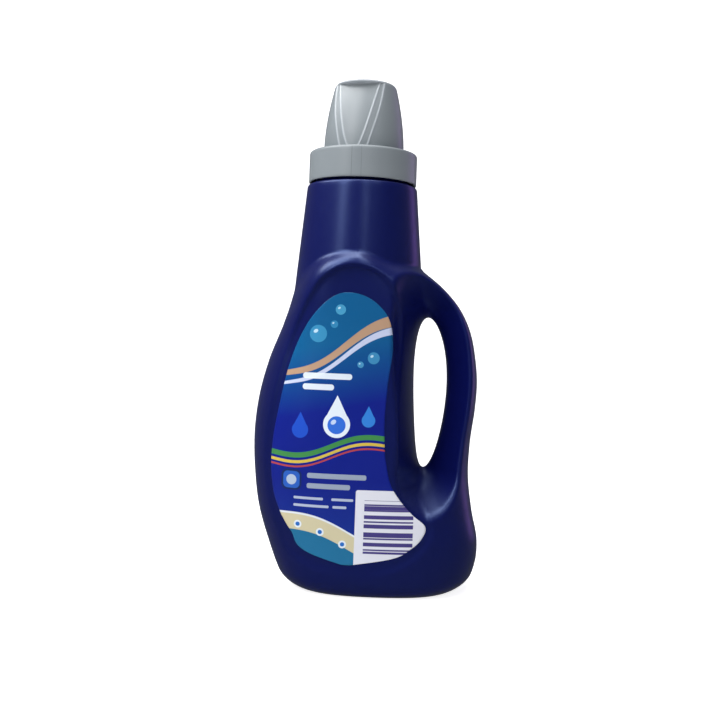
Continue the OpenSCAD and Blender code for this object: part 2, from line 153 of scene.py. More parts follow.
# the square of the skin's half depth at x, z, below zero outside its outline
def square(x, z):
    x, z = np.broadcast_arrays(np.asarray(x, float), np.asarray(z, float))
    low = z < body["top"]
    xl, xr = leftEdge(z) + heel(z), rightEdge(z) - heel(z)
    c, w = np.where(low, (xl + xr) / 2, 0), np.where(low, (xr - xl) / 2, 1)
    deep = (body["depth"] - body["footLean"] * (np.maximum(0, body["waist"] - z) / body["waist"]) ** 2
            - body["lean"] * (np.maximum(0, z - body["waist"]) / body["leanOver"]) ** 2)
    b = deep - heel(z)
    u = (x - c) / w
    full = body["full"] * (1 + arch["squarer"] * smooth((z - arch["squareFrom"]) / arch["squareOver"]) * smooth(-u))
    across = (1 - u * u) * (1 + full * np.minimum(4, u * u))
    fall = np.clip(0.5 - belowArch(x, z) / arch["fall"], 0, 3)
    inside = np.maximum(0, across) * (1 - fall * fall) + np.minimum(0, across)
    pillow = b * b * np.where(low, inside, body["outside"])
    t = (z - opening["z"]) / opening["half"]
    past = np.maximum(0, abs(t) - 1)
    v = (x - holeMiddle(t)) / holeHalfWidth(t)
    bodyWay = smooth((holeMiddle(t) + opening["wallFrom"] - x) / opening["wallOver"])
    side = opening["gripWall"] + opening["bodyWall"] * bodyWay
    end = side + (opening["end"] - side) * smooth(past / opening["endOver"])
    ease = np.where(t < 0, opening["footEase"], opening["topEase"])
    hole = side * v * v + end * (t * t - 1 + ease * past * past)
    neck = cone(z) ** 2 - body["neckDrop"] * np.maximum(0, body["neckFoot"] - z) ** 2 - x * x
    return softMax(softMin(pillow, hole, opening["blend"]), neck, body["neckBlend"])


# how deep the label's recess is at x, z
def dip(x, z):
    z = np.asarray(z, float)
    inside = (z > panelL.foot) & (z < panelL.top)
    pl, pr = panelL(z), panelR(z)
    m = x - (pl + pr) / 2
    q = np.where(inside, ((pr - pl) / 2) ** 2 - m * m, -1)
    deep = recess["low"] + (recess["deep"] - recess["low"]) * smooth((z - recess["deepFrom"]) / recess["deepOver"])
    deep = deep * smooth((z - panelL.foot) / recess["footOver"])
    return deep * smooth(q / (recess["step"] * np.sqrt(4 * m * m + recess["soft"])))


def half(x, z):
    return np.sqrt(np.maximum(0, square(x, z))) - dip(x, z)


halvings = 34


# the outline's x at height z, found by halving between a point outside it and a point inside
def root(z, out, inn):
    out, inn = np.array(out, float) + 0 * z, np.array(inn, float) + 0 * z
    for _ in range(halvings):
        m = (out + inn) / 2
        hit = square(m, z) > 0
        inn, out = np.where(hit, m, inn), np.where(hit, out, m)
    return inn


def normalAt(x, y, z, edge):
    e = 0.02
    gx = (square(x + e, z) - square(x - e, z)) / (2 * e)
    gz = (square(x, z + e) - square(x, z - e)) / (2 * e)
    dx, dz = (dip(x + e, z) - dip(x - e, z)) / (2 * e), (dip(x, z + e) - dip(x, z - e)) / (2 * e)
    yy = np.where(edge, 0, y + dip(x, z))
    n = np.stack([-gx + 2 * yy * dx, 2 * yy, -gz + 2 * yy * dz], -1)
    return n / np.maximum(1e-9, np.linalg.norm(n, axis=-1, keepdims=True))


def newMesh(name, verts, faces):
    used = sorted({i for f in faces for i in f})
    place = {k: i for i, k in enumerate(used)}
    v = np.asarray(verts)[used] * 0.001 + [neckX * 0.001, 0, 0]
    mesh = bpy.data.meshes.new(name)
    mesh.from_pydata(v.tolist(), [], [[place[i] for i in f] for f in faces])
    mesh.validate()
    mesh.shade_smooth()
    obj = bpy.data.objects.new(name, mesh)
    bpy.context.scene.collection.objects.link(obj)
    return obj


holeLow, holeHigh = opening["z"] - opening["half"], opening["z"] + opening["half"]


def even(i, n):
    return (1 - np.cos(np.pi * i / n)) / 2


# where the skin's rows and columns lie: counts, steps, and the heights where the spacing changes
skin = dict(body=84, grip=40, quickBody=56, quickGrip=26, heelFrom=12, heelTurn=6, footTop=55, foot=1.7, near=12,
            hole=66, archFoot=154, upper=0.65, neck=3.2, neckGap=2, cornerTurn=22.5, reach=40, past=6, holeReach=22,
            fadeAbove=34, fadeBelow=60, evenShare=0.8, plainShare=0.2, inFoot=0.4, inTop=1.4)
# shares of the foot's outline and their heights, from the push-up's middle out to the foot's rim
pushUp = [(0.12, 3.2), (0.35, 3.1), (0.55, 3.0), (0.68, 2.7), (0.76, 2.2), (0.81, 1.5), (0.845, 0.8),
          (0.875, 0.25), (0.905, 0.02), (0.93, 0), (0.965, 0), (1, 0.02)]
# radius and height up the outside of the neck, over its rim and down its bore
neckFinish = [(26.4, 214.02), (25.5, 214.25), (25.2, 214.8), (25.2, 216.5), (25.2, 226), (25.2, 227.4),
              (25.0, 227.85), (24.6, 228), (23.5, 228), (23.15, 227.85), (23, 227.4),
              (23, 213.6), (23.4, 212.8), (27.4, 212.75)]


def skinRows(fine):
    near = lambda n, a, b: a + (b - a) * (np.arange(n) / n) ** 2
    k = 1 if fine else 2
    heelRows = body["heel"] * (1 - np.cos(np.radians(np.arange(skin["heelFrom"], 90, skin["heelTurn"] * k))))
    foot = np.arange(body["heel"], skin["footTop"], skin["foot"] * k)
    toHole = near(skin["near"] // k, holeLow, skin["footTop"])[:0:-1]
    holeN = skin["hole"] // k
    inHole = holeLow + (holeHigh - holeLow) * even(np.arange(0, holeN + 1), holeN)
    fromHole = near(skin["near"] // k, holeHigh, skin["archFoot"])[1:]
    upper = np.arange(skin["archFoot"], body["top"], skin["upper"] * k)
    neck = np.arange(body["top"], body["shoulder"] - skin["neckGap"], skin["neck"] * k)
    corner = np.radians(np.arange(0, 91, skin["cornerTurn"] if fine else 90))
    top = body["shoulder"] - body["coneCorner"] * (1 - np.sin(corner))
    return np.concatenate([heelRows, foot, toHole, inHole, fromHole, upper, neck, top])


# one x for each row and column: bodyN steps left of the opening and gripN right of it
def sheetColumns(z, bodyN, gripN):
    t = (z - opening["z"]) / opening["half"]
    low = z < body["top"]
    xl, xr = leftEdge(z) + heel(z), rightEdge(z) - heel(z)
    c, w = np.where(low, (xl + xr) / 2, 0), np.where(low, (xr - xl) / 2, 1)
    opened = (z > holeLow + 1e-6) & (z < holeHigh - 1e-6)
    mid, reach, past = holeMiddle(t), skin["reach"], skin["past"]
    grip = (xr + mid + holeHalfWidth(t)) / 2
    l = root(z, np.where(low, np.minimum(c - w - past, -reach), -reach), np.where(low, c - w / 2, 0))
    r = root(z, np.where(low, np.maximum(c + w + past, reach), reach), np.where(opened, grip, np.where(low, c, 0)))
    a = np.where(opened, root(z, mid, mid - skin["holeReach"]), mid)
    b = np.where(opened, root(z, mid, grip), mid)
    fade = np.where(z > opening["z"], skin["fadeAbove"], skin["fadeBelow"])
    away = smooth(np.maximum(holeLow - z, z - holeHigh) / fade)
    i = np.arange(bodyN + 1)
    j = np.arange(gripN + 1)
    spread = skin["evenShare"] * even(i, bodyN) + skin["plainShare"] * i / bodyN
    part = np.hstack([l[:, None] + (a - l)[:, None] * spread[None],
                      b[:, None] + (r - b)[:, None] * even(j, gripN)[None]])
    whole = l[:, None] + (r - l)[:, None] * even(np.concatenate([i, j + bodyN]), bodyN + gripN)[None]
    return part + (whole - part) * np.where(opened, 0, away)[:, None]


def frontSheet(bodyN, gripN, fine):
    z = skinRows(fine)
    x = sheetColumns(z, bodyN, gripN)
    zz = np.repeat(z[:, None], x.shape[1], 1)
    edge = np.zeros(x.shape, bool)
    edge[:, [0, -1]] = True
    slit = (z > holeLow - 1e-6) & (z < holeHigh + 1e-6)
    edge[np.ix_(slit, [bodyN, bodyN + 1])] = True
    y = np.where(edge, 0, half(x, zz))
    return z, x, y, zz, edge


# a round row of the neck, with its middle point doubled where the opening parts the other rows
def ringRow(r, z, bodyN, gripN):
    allN = bodyN + gripN
    i = np.concatenate([np.arange(bodyN + 1), np.arange(bodyN, allN + 1)])
    a = np.pi * i / allN
    y = r * np.sin(a)
    y[[0, -1]] = 0
    return np.stack([-r * np.cos(a), y, np.full(len(i), float(z))], -1)


def baseRows(scales, x, y, lift):
    out = []
    for k, (f, z) in enumerate(scales):
        px = body["baseX"] + (x - body["baseX"]) * f
        out.append(np.stack([px, y * f * (k > 0), np.full(len(x), z + lift)], -1))
    return out


# rows run from the push-up's middle up the outside, over the neck's rim, down the inside and back under
def makeBottle():
    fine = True
    bodyN, gripN = (skin["body"], skin["grip"]) if fine else (skin["quickBody"], skin["quickGrip"])
    z, x, y, zz, edge = frontSheet(bodyN, gripN, fine)
    x0 = sheetColumns(np.array([0.0]), bodyN, gripN)[0]
    y0 = half(x0, 0.0)
    y0[[0, -1]] = 0
    rows = baseRows(pushUp, x0, y0, 0)
    head = len(rows)
    outer = [np.stack([x[k], y[k], zz[k]], -1) for k in range(len(z))]
    rows += outer + [ringRow(r, h, bodyN, gripN) for r, h in neckFinish]
    inHead = len(rows)
    normals = normalAt(x, y, zz, edge)
    keep = [k for k in range(len(z)) if skin["inFoot"] < z[k] < body["shoulder"] - skin["inTop"]][::-1]
    keep = keep[::2] if fine else keep
    for k in keep:
        p = outer[k] - body["wall"] * normals[k]
        p[edge[k], 1] = 0
        rows.append(p)
    rows += baseRows(pushUp, x0, y0, body["wall"])[::-1]
    outLow, outHigh = (head + int(np.argmin(abs(z - v))) for v in (holeLow, holeHigh))
    inLow, inHigh = (inHead + int(np.argmin(abs(z[keep] - v))) for v in (holeLow, holeHigh))
    n, w = len(rows), bodyN + gripN + 2
    front = np.arange(n * w).reshape(n, w)
    back = front + n * w
    # front and back share their points round the outline and round the opening
    for r in range(n):
        opened = outLow < r < outHigh or inHigh < r < inLow
        slit = outLow <= r <= outHigh or inHigh <= r <= inLow
        if not opened:
            front[r, bodyN + 1], back[r, bodyN + 1] = front[r, bodyN], back[r, bodyN]
        same = [0, w - 1] + ([bodyN, bodyN + 1] if slit else [])
        back[r, same] = front[r, same]
    back[0], back[-1] = front[0], front[-1]
    faces = []
    for r in range(n - 1):
        for i in range(w - 1):
            if i != bodyN:
                for g, turned in ((front, False), (back, True)):
                    q = [int(g[r, i]), int(g[r, i + 1]), int(g[r + 1, i + 1]), int(g[r + 1, i])]
                    q = [v for k, v in enumerate(q) if v not in q[:k]]
                    if len(q) > 2:
                        faces.append(q[::-1] if turned else q)
    p = np.concatenate(rows) * [1, slim, 1]
    reach = [corner[0] * 1000 - neckX for corner in cadBox]
    p[:, 0] = np.clip(p[:, 0], reach[0] + margin, reach[1] - margin)
    return newMesh("bottleSkin", np.concatenate([p * [1, -1, 1], p]), faces)


film = dict(rows=150, columns=64, quickRows=80, quickColumns=36, evenShare=0.3, plainShare=0.7, gap=0.1,
            under=0.1, over=0.22)


def makeLabel():
    n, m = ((film["rows"], film["columns"]))
    share = film["evenShare"] * even(np.arange(n + 1), n) + film["plainShare"] * np.arange(n + 1) / n
    z = labelL.foot + (labelL.top - labelL.foot) * share
    z = np.clip(z, labelL.foot + film["gap"], labelL.top - film["gap"])
    x = labelL(z)[:, None] + (labelR(z) - labelL(z))[:, None] * (np.arange(m + 1) / m)[None]
    zz = np.repeat(z[:, None], m + 1, 1)
    skins = [np.stack([x, -half(x, zz) * slim - off, zz], -1).reshape(-1, 3) for off in (film["under"], film["over"])]
    w, k = m + 1, (n + 1) * (m + 1)
    at = lambda r, i: r * w + i
    faces = []
    for r in range(n):
        for i in range(m):
            faces.append([k + at(r, i), k + at(r, i + 1), k + at(r + 1, i + 1), k + at(r + 1, i)])
            faces.append([at(r, i), at(r + 1, i), at(r + 1, i + 1), at(r, i + 1)])
    rim = [at(0, i) for i in range(m)] + [at(r, m) for r in range(n)]
    rim += [at(n, i) for i in range(m, 0, -1)] + [at(r, 0) for r in range(n, 0, -1)]
    for a, b in zip(rim, rim[1:] + rim[:1]):
        faces.append([a, b, b + k, a + k])
    return newMesh("labelFilm", np.concatenate(skins), faces)


closure = dict(collarR=29, collarZ=215.3, collarTop=231.8, corner=1.6, soften=1.15, footBlend=1.0, top=268.9,
               crownBlend=2.6, crownInset=0.8, cupWall=1.3, cupR=21.5, cupTopR=17, cupFall=4.55, cupFrom=233,
               cupOver=32.9, cupPast=1.3, cupBend=1.8, lipIn=18.88, lipStep=1.2, lipTop=231.9, lipBlend=0.5)
# bevel and floor: a facet's distance from the axis at its foot and top, and its radius
scoop = dict(count=2, turn=-16, crown=1.1, rise=0.35, shelfSlope=1.06, bevel=(21.36, 13.45, 24),
             floor=(21.32, 12.67, 34), bow=1.92, tilt=0.97, creaseBlend=0.2, shelfBlend=1.2, edgeBlend=0.4)
bead = dict(rise=0.3, w=0.4, ahead=4, fade=0.6, under=0.3, browFoot=0.5, browTop=0.9, browFade=0.5,
            topGap=1.3, topFade=1.2)
scoopAngles = [math.radians(scoop["turn"] + 360 / scoop["count"] * k) for k in range(scoop["count"])]


# how far a facet lies from the cup's axis at height z
def facetDepth(z, size):
    t = (z - closure["collarTop"]) / (closure["top"] - closure["collarTop"])
    return size[0] + (size[1] - size[0]) * t + 4 * scoop["bow"] * t * (1 - t)


def facetField(x, y, z, inset, size):
    r = size[2] - inset
    deep = (y + facetDepth(z, size) - inset) * scoop["tilt"]
    return np.hypot(x, deep - r) - r


def cupRadius(z):
    t = np.clip((z - closure["cupFrom"]) / closure["cupOver"], 0, closure["cupPast"])
    return closure["cupR"] - closure["cupFall"] * t ** closure["cupBend"]


# the underside of the crown over a scoop
def shelfField(r, z):
    return (z - (closure["top"] - scoop["crown"]) - scoop["rise"] * (r - closure["cupTopR"])) / scoop["shelfSlope"]


# 0 to 1 on the two raised lines along each side of a scoop and on the line under the crown
def ridge(p):
    x, y, z = p[..., 0], p[..., 1], p[..., 2]
    r, big = np.hypot(x, y), cupRadius(z)
    bevelR, floorR = scoop["bevel"][2], scoop["floor"][2]
    bevel, floor, shelf = facetDepth(z, scoop["bevel"]), facetDepth(z, scoop["floor"]), shelfField(r, z)
    c = bevelR - bevel
    outer = np.sqrt(np.maximum(0, big ** 2 - ((big ** 2 - bevelR ** 2 + c * c) / (2 * c)) ** 2))
    inner = np.sqrt(np.maximum(0, (bevel - floor) / (0.5 / bevelR - 0.5 / floorR)))
    under = smooth((-shelf - bead["under"]) / bead["fade"])
    high = smooth((closure["top"] - bead["topGap"] - z) / bead["topFade"])
    brow = smooth((shelf + bead["browFoot"]) / bead["fade"]) * smooth((bead["browTop"] - shelf) / bead["browFade"])
    lines = np.zeros_like(r)
    for a in scoopAngles:
        across = abs(x * math.cos(a) + y * math.sin(a))
        ahead = smooth((x * math.sin(a) - y * math.cos(a)) / bead["ahead"])
        lines = lines + ahead * high * np.exp(-((across - outer) / bead["w"]) ** 2)
        lines = lines + ahead * under * np.exp(-((across - inner) / bead["w"]) ** 2)
        lines = lines + ahead * (brow * smooth((outer - across) / bead["fade"]))
    return np.clip(lines, 0, 1) * smooth((z - closure["collarTop"]) / bead["fade"])


# the fields are below zero inside the moulding's outline; inset is the distance in from the cup's outside
def cupField(p, inset):
    x, y, z = p[..., 0], p[..., 1], p[..., 2]
    r = np.hypot(x, y)
    crown = closure["crownBlend"] - closure["crownInset"] * inset
    f = softMax(r - (cupRadius(z) - inset), z - (closure["top"] - inset), crown)
    for a in scoopAngles:
        xl, yl = x * math.cos(a) + y * math.sin(a), y * math.cos(a) - x * math.sin(a)
        bevel, floor = (facetField(xl, yl, z, inset, scoop[part]) for part in ("bevel", "floor"))
        facet = softMax(bevel, floor, scoop["creaseBlend"])
        if inset == 0:
            facet = softMin(facet, -shelfField(r, z), scoop["shelfBlend"])
        f = softMax(f, facet, scoop["edgeBlend"])
    return f - (bead["rise"] * ridge(p) if inset == 0 else 0)


def outerField(p):
    r, z = np.hypot(p[..., 0], p[..., 1]), p[..., 2]
    rim = softMax(r - closure["collarR"], z - closure["collarTop"], closure["corner"] * closure["soften"])
    return softMin(cupField(p, 0), rim, closure["footBlend"])


def hollowField(p):
    r, z = np.hypot(p[..., 0], p[..., 1]), p[..., 2]
    step = closure["lipStep"]
    lip = r - (closure["lipIn"] + step * smooth((z - closure["lipTop"]) / step))
    return softMax(cupField(p, closure["cupWall"]), lip, closure["lipBlend"])


# rays are aimed at stretches of (radius, height), each with its count, and end where the field is zero
capRays = dict(turns=320, quickTurns=150, near=0.15, far=1.3, halvings=26, hollowZ=227, collarZ=222, topZ=261,
               crownX=14, crownZ=265.9, crownR=3)
cupRays = [((21.5, 232.3), (21.3, 240), 10), ((21.3, 240), (17.6, 262.8), 28), ((17.2, 262.8), (17, 267.2), 30)]
topRays = [((13.6, 268.9), (0.3, 268.9), 17), ((0.3, 268.9), (0.3, 268.9), 1)]
collarRays = [((29, 215.7), (29, 230), 12), ((29, 230.2), (27.4, 231.8), 7), ((27.4, 231.8), (21.7, 231.8), 9)]
hollowRays = [((18.9, 222.3), (18.9, 231.4), 6), ((18.9, 231.6), (20.1, 233.4), 5), ((20.1, 233.4), (20, 240), 6),
              ((20, 240), (16, 264), 20), ((16, 264.4), (13.5, 267.6), 6), ((13.5, 267.6), (0.3, 267.6), 12),
              ((0.3, 267.6), (0.3, 267.6), 1)]
# radius and height round the lip, along the collar's roof and down the inside of the skirt
skirtInside = [(19, 222.1), (19.3, 222.0), (19.8, 222.0), (20.1, 222.2), (20.18, 222.6), (20.18, 229.8),
               (20.6, 230.1), (27.0, 230.1), (27.5, 229.8), (27.6, 229.3), (27.6, 216), (27.75, 215.5),
               (28, 215.3), (28.6, 215.3), (28.9, 215.4)]
# the cap's angles lie closer together this many degrees either side of a scoop's middle
closer = dict(samples=1441, more=2, foot=4, top=64, fade=4)


# surface points on rays from the axis towards a profile; a centre of None keeps each ray level
def starRows(field, profile, centre, a):
    r, z = np.array(profile, float).T
    start = z if centre is None else np.full(len(z), float(centre))
    way = np.stack([r[:, None] * np.cos(a), r[:, None] * np.sin(a), (z - start)[:, None] + 0 * a], -1)
    inn, out = np.full(way.shape[:2], capRays["near"]), np.full(way.shape[:2], capRays["far"])
    c = np.stack([0 * start, 0 * start, start], -1)[:, None, :]
    for _ in range(capRays["halvings"]):
        m = (inn + out) / 2
        hit = field(c + way * m[..., None]) < 0
        inn, out = np.where(hit, m, inn), np.where(hit, out, m)
    return list(c + way * inn[..., None])


def turned(profile, a):
    return [np.stack([r * np.cos(a), r * np.sin(a), np.full(len(a), float(z))], -1) for r, z in profile]


def capAngles(n):
    a = np.linspace(0, 2 * np.pi, closer["samples"]) - np.pi / 2
    off = abs((np.degrees(a) + 180 - scoop["turn"]) % 180 - 90)
    close = 1 + closer["more"] * smooth((off - closer["foot"]) / closer["fade"]) * smooth(
        (closer["top"] - off) / closer["fade"])
    total = np.concatenate([[0], np.cumsum(close[1:] + close[:-1])])
    return np.interp(np.arange(n) / n * total[-1], total, a)


def lathe(name, rows):
    n, w = len(rows), len(rows[0])
    faces = []
    for r in range(n - 1):
        for i in range(w):
            j = (i + 1) % w
            faces.append([r * w + i, r * w + j, (r + 1) * w + j, (r + 1) * w + i])
    faces += [list(range(w))[::-1], [(n - 1) * w + i for i in range(w)]]
    return newMesh(name, np.concatenate(rows), faces)


def path(stretches):
    return [(a[0] + (b[0] - a[0]) * k / n, a[1] + (b[1] - a[1]) * k / n) for a, b, n in stretches for k in range(n)]


def makeCap():
    turns = capAngles(capRays["turns"])
    crown = [(capRays["crownX"] + capRays["crownR"] * math.cos(math.radians(a)),
              capRays["crownZ"] + capRays["crownR"] * math.sin(math.radians(a))) for a in range(33, 90, 8)]
    rows = starRows(hollowField, path(hollowRays), capRays["hollowZ"], turns)[::-1]
    rows += turned(skirtInside, turns)
    rows += starRows(outerField, path(collarRays), capRays["collarZ"], turns)
    rows += starRows(outerField, path(cupRays), None, turns)
    rows += starRows(outerField, crown + path(topRays), capRays["topZ"], turns)
    shell = lathe("capShell", rows)
    # the ridge mask is kept on the shell for the paint, which uses it to paint highlights along the raised lines and
    # to lighten the shaded underside of the crown
    mark = shell.data.attributes.new("ridge", "FLOAT", "POINT")
    at = np.array([v.co for v in shell.data.vertices]) * 1000 - [neckX, 0, 0]
    mark.data.foreach_set("value", ridge(at).astype(np.float32))
    return shell


thread = dict(lead=9, starts=2, turns=0.95, z=217.4, capLift=1.0, capTurn=114, height=1.7,
              neckRoot=25.1, neckCrest=26.6, capRoot=27.7, capCrest=26.1, steps=120, quickSteps=60,
              runOut=0.07, least=0.04, flank=0.75, flankH=0.72, crestH=0.35)


# one rib that winds from root to crest and runs out at both ends
def helix(name, root, crest, z0, start):
    turns, h = thread["turns"], thread["height"] / 2
    steps = int(turns * thread["steps"])
    rows = []
    for k in range(steps + 1):
        a = math.radians(start) + turns * 2 * math.pi * k / steps
        z = z0 + thread["lead"] * turns * k / steps
        ease = smooth(min(k, steps - k) / (steps * thread["runOut"]))
        tip = root + (crest - root) * (thread["least"] + (1 - thread["least"]) * ease)
        flank = root + (tip - root) * thread["flank"]
        section = [(root, -h), (flank, -h * thread["flankH"]), (tip, -h * thread["crestH"]),
                   (tip, h * thread["crestH"]), (flank, h * thread["flankH"]), (root, h)]
        if crest < root:
            section = section[::-1]
        rows.append(np.array([(r * math.cos(a), r * math.sin(a), z + dz) for r, dz in section]))
    return lathe(name, rows)


class Node:
    def __init__(self, tree, socket):
        self.tree, self.socket = tree, socket

    def calc(self, kind, other=None):
        n = self.tree.nodes.new("ShaderNodeMath")
        n.operation = kind
        for k, v in enumerate((self, other)):
            if isinstance(v, Node):
                self.tree.links.new(v.socket, n.inputs[k])
            elif v is not None:
                n.inputs[k].default_value = v
        return Node(self.tree, n.outputs[0])

    def __add__(self, o): return self.calc("ADD", o)
    def __sub__(self, o): return self.calc("SUBTRACT", o)
    def __mul__(self, o): return self.calc("MULTIPLY", o)
    def __truediv__(self, o): return self.calc("DIVIDE", o)
    def __neg__(self): return self.calc("MULTIPLY", -1.0)
    def min(self, o): return self.calc("MINIMUM", o)
    def max(self, o): return self.calc("MAXIMUM", o)
    def abs(self): return self.calc("ABSOLUTE")
    def root(self): return self.calc("SQRT")
    def wave(self): return self.calc("SINE")

    # how far inside a band of this half width
    def within(self, halfWidth):
        return -self.abs() + halfWidth

    # 0 outside and 1 inside, with a soft edge
    def fill(self, soft=0.12):
        return (self / soft + 0.5).max(0.0).min(1.0)


# one procedural material: coordinates in millimetres from the neck's axis, colours mixed layer by layer
class Look:
    def __init__(self, name, colour, coat=0.0, spec=0.5, tint=(1, 1, 1)):
        self.mat = bpy.data.materials.new(name)
        self.mat.use_nodes = True
        self.tree = self.mat.node_tree
        self.shader = self.tree.nodes["Principled BSDF"]
        for socket, value in (("Coat Weight", coat), ("Coat Roughness", 0.12), ("Specular IOR Level", spec),
                              ("Specular Tint", (*tint, 1))):
            self.shader.inputs[socket].default_value = value
        self.coord = self.tree.nodes.new("ShaderNodeTexCoord").outputs["Object"]
        split = self.tree.nodes.new("ShaderNodeSeparateXYZ")
        self.tree.links.new(self.coord, split.inputs[0])
        x, y, z = (Node(self.tree, s) for s in split.outputs)
        self.x, self.y, self.z = x * 1000.0 - neckX, y * 1000.0, z * 1000.0
        self.colour = self.rgb(colour)

    def rgb(self, c):
        n = self.tree.nodes.new("ShaderNodeRGB")
        n.outputs[0].default_value = (*c, 1)
        return n.outputs[0]

    def paint(self, mask, colour):
        n = self.tree.nodes.new("ShaderNodeMix")
        n.data_type = "RGBA"
        for k, socket in ((0, mask.socket), (6, self.colour), (7, self.rgb(colour))):
            self.tree.links.new(socket, n.inputs[k])
        self.colour = n.outputs[2]

    def noise(self, scale, detail):
        n = self.tree.nodes.new("ShaderNodeTexNoise")
        n.inputs["Scale"].default_value, n.inputs["Detail"].default_value = scale, detail
        self.tree.links.new(self.coord, n.inputs["Vector"])
        return Node(self.tree, n.outputs["Fac"])

    def attribute(self, name):
        n = self.tree.nodes.new("ShaderNodeAttribute")
        n.attribute_name = name
        return Node(self.tree, n.outputs["Fac"])

    def done(self, *objs, bump, depth):
        self.tree.links.new(self.colour, self.shader.inputs["Base Color"])
        if isinstance(self.rough, Node):
            self.tree.links.new(self.rough.socket, self.shader.inputs["Roughness"])
        else:
            self.shader.inputs["Roughness"].default_value = self.rough
        n = self.tree.nodes.new("ShaderNodeBump")
        n.inputs["Strength"].default_value, n.inputs["Distance"].default_value = bump, depth
        self.tree.links.new(self.height.socket, n.inputs["Height"])
        self.tree.links.new(n.outputs[0], self.shader.inputs["Normal"])
        for o in objs:
            o.data.materials.clear()
            o.data.materials.append(self.mat)


navy = dict(base=(0.0022, 0.0038, 0.066), patch=(0.003, 0.005, 0.084), spec=0.62, tint=(0.38, 0.54, 1.0),
            rough=0.27, seam=0.16)


def bottleLook(*objs):
    k = Look("navyPlastic", navy["base"], spec=navy["spec"], tint=navy["tint"])
    k.paint(k.noise(38, 3) * 0.35, navy["patch"])
    k.rough = k.noise(240, 2) * 0.08 + navy["rough"]
    seam = k.y.within(navy["seam"]).fill(navy["seam"])
    k.height = k.noise(1400, 2) * 0.10 + k.noise(160, 2) * 0.35 + seam * 0.5
    k.done(*objs, bump=0.35, depth=0.00012)


# mouldLines: x and strength of the two lines on the collar's front; the pale colour and its share are painted light,
# a painted highlight on the scoops' raised lines and a lighter painted shade on the crown's underside
grey = dict(base=(0.205, 0.23, 0.246), patch=(0.24, 0.268, 0.284), spec=0.42, rough=0.30,
            paintedLight=(0.56, 0.60, 0.65), paintedLightShare=0.6, polish=0.14, mouldLine=(0.10, 0.115, 0.13),
            mouldLines=((-6.0, 1.0), (-1.0, 0.7)), lineHalf=0.11, lineTop=0.8)


def capLook(*objs):
    k = Look("greyPlastic", grey["base"], spec=grey["spec"])
    k.paint(k.noise(60, 3) * 0.5, grey["patch"])
    front = (-k.y).fill(1.0)
    band = (k.z - closure["collarZ"]).fill(0.2) * (-k.z + closure["collarTop"] - grey["lineTop"]).fill(0.4)
    left, right = ((k.x - x).within(grey["lineHalf"]).fill(0.1) * strong for x, strong in grey["mouldLines"])
    marks = left.max(right) * front * band
    k.paint(marks * 0.75, grey["mouldLine"])
    # painted light: the raised lines along the scoops and the line under the crown are painted paler as a painted
    # highlight, and the shaded underside of the crown is lightened with it; the same mask also lowers the roughness
    # there
    paintedLight = k.attribute("ridge")
    k.paint(paintedLight * grey["paintedLightShare"], grey["paintedLight"])
    k.rough = k.noise(300, 2) * 0.1 + grey["rough"] - paintedLight * grey["polish"]
    k.height = k.noise(1500, 2) * 0.1 + k.noise(190, 2) * 0.3 - marks * 0.8
    k.done(*objs, bump=0.35, depth=0.0001)


pale = dict(base=(0.74, 0.76, 0.77), patch=(0.66, 0.69, 0.71), rough=0.3)


def paleLook(*objs):
    k = Look("naturalPlastic", pale["base"])
    k.paint(k.noise(90, 3) * 0.3, pale["patch"])
    k.rough = k.noise(260, 2) * 0.1 + pale["rough"]
    k.height = k.noise(1300, 2) * 0.2
    k.done(*objs, bump=0.3, depth=0.0001)


foam = dict(base=(0.78, 0.79, 0.80), patch=(0.60, 0.62, 0.64), rough=0.85)


def foamLook(*objs):
    k = Look("whiteFoam", foam["base"])
    k.paint(k.noise(700, 4), foam["patch"])
    k.rough = foam["rough"]
    k.height = k.noise(2200, 3)
    k.done(*objs, bump=0.7, depth=0.0002)


def ellipse(k, cx, cz, rx, rz, lean=0.0):
    c, s = math.cos(math.radians(lean)), math.sin(math.radians(lean))
    dx, dz = k.x - cx, k.z - cz
    u, v = (dx * c + dz * s) / rx, (dz * c - dx * s) / rz
    return (-(u * u + v * v).root() + 1.0) * min(rx, rz)


def disc(k, cx, cz, r):
    return ellipse(k, cx, cz, r, r)


def plate(k, cx, cz, w, h, corner):
    u, v = (k.x - cx).abs() - (w / 2 - corner), (k.z - cz).abs() - (h / 2 - corner)
    out = (u.max(0.0) * u.max(0.0) + v.max(0.0) * v.max(0.0)).root() + u.max(v).min(0.0)
    return -out + corner


